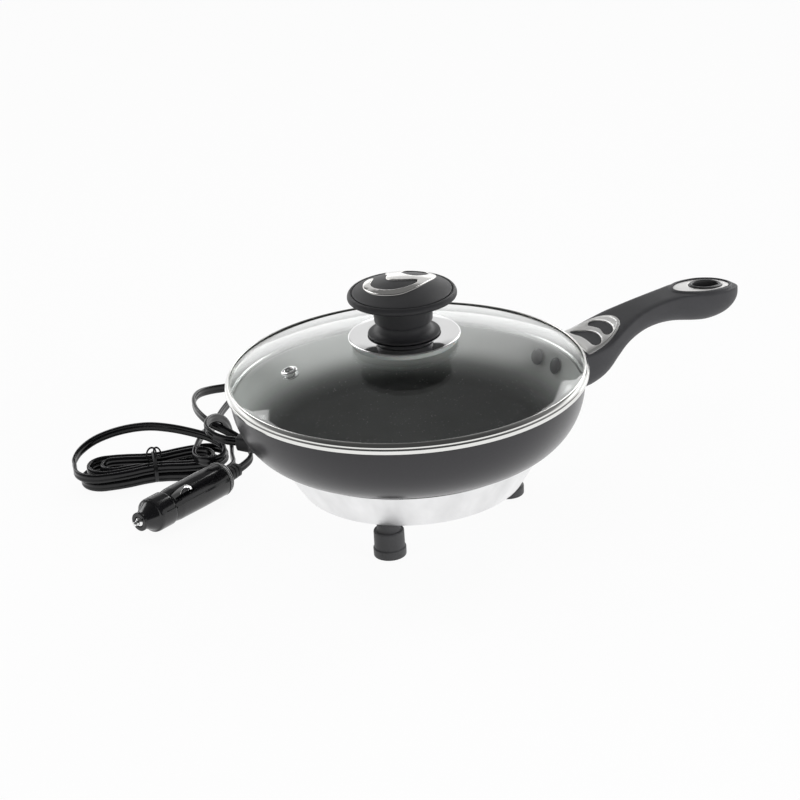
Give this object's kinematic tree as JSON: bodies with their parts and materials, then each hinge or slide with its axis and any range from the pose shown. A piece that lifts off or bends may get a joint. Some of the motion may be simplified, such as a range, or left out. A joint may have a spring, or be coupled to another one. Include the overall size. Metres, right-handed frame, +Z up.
{
  "type": "electric skillet",
  "caption": "Small round frying pan on a heated base with rubber feet, a lift-off glass lid with a knob, a side handle and a flat cord with a lighter plug.",
  "frame": {"origin": "middle of the footprint of the pan and its handle, without the cord and plug, on the surface that the feet stand on", "axes": "+Z up, +X from the pan towards the end of its handle, +Y to the side where the cord lies"},
  "size_m": [0.3895, 0.3094, 0.1464],
  "materials": {
    "coated_pan": "satin",
    "brushed_aluminium": "satin",
    "steel": "satin",
    "chrome": "polished",
    "clear_glass": "polished",
    "soft_black": "matte",
    "foot_rubber": "matte",
    "cord_black": "satin",
    "plug_black": "gloss",
    "grey_plastic": "satin",
    "ceramic": "matte",
    "fibre": "matte",
    "silicone": "satin",
    "brass": "satin"
  },
  "bodies": {
    "skillet": {"pan_shell": "coated_pan", "heater_skirt": "brushed_aluminium", "base_cover": "steel", "foot_1": "foot_rubber", "foot_screw_1": "steel", "foot_2": "foot_rubber", "foot_screw_2": "steel", "foot_3": "foot_rubber", "foot_screw_3": "steel", "heating_element": "steel", "element_terminal_1": "brass", "element_terminal_2": "brass", "clamp_plate": "steel", "centre_stud": "steel", "clamp_nut": "steel", "cover_nut": "steel", "insulation_pad": "fibre", "thermal_cutout": "ceramic", "terminal_block": "ceramic", "supply_wire_1": "cord_black", "supply_wire_2": "cord_black", "handle_bracket": "steel", "rivet_1": "coated_pan", "rivet_2": "coated_pan", "handle_grip": "soft_black", "handle_screw": "steel", "handle_root_plate": "chrome", "handle_end_plate": "chrome", "hanging_bush": "soft_black", "cord_boot": "cord_black", "cord_hank": "cord_black", "cord_tie": "soft_black", "cord_lead": "cord_black", "cord_tail": "cord_black", "plug_body": "plug_black", "plug_nose": "grey_plastic", "plug_spring": "steel", "plug_fuse": "brass", "plug_band": "grey_plastic", "plug_sleeve": "cord_black"},
    "lid": {"lid_glass": "clear_glass", "lid_rim": "chrome", "steam_vent_eyelet": "chrome", "knob_gasket": "silicone", "knob_plate": "chrome", "knob_washer": "silicone", "knob_screw": "steel", "knob_neck": "soft_black", "knob_cap": "soft_black", "knob_inlay": "chrome"},
    "contact_tip": {"plug_tip": "steel"},
    "upper_side_contact": {"plug_side_contact_1": "steel"},
    "lower_side_contact": {"plug_side_contact_2": "steel"}
  },
  "joints": [
    {"name": "lid_lift", "type": "slide", "parent": "skillet", "child": "lid", "axis": [0, 0, 1], "range_m": [0, 0.08]},
    {"name": "contact_tip_press", "type": "slide", "parent": "skillet", "child": "contact_tip", "axis": [0.9432, 0.3322, 0], "range_m": [0, 0.0035], "stiffness_N_per_m": 600, "springref_m": -0.003, "deforming": ["plug_spring"]},
    {"name": "upper_side_contact_press", "type": "slide", "parent": "skillet", "child": "upper_side_contact", "axis": [-0.1905, 0.541, -0.8192], "range_m": [0, 0.0014], "stiffness_N_per_m": 800, "springref_m": -0.001},
    {"name": "lower_side_contact_press", "type": "slide", "parent": "skillet", "child": "lower_side_contact", "axis": [0.1905, -0.541, 0.8192], "range_m": [0, 0.0014], "stiffness_N_per_m": 800, "springref_m": -0.001}
  ]
}
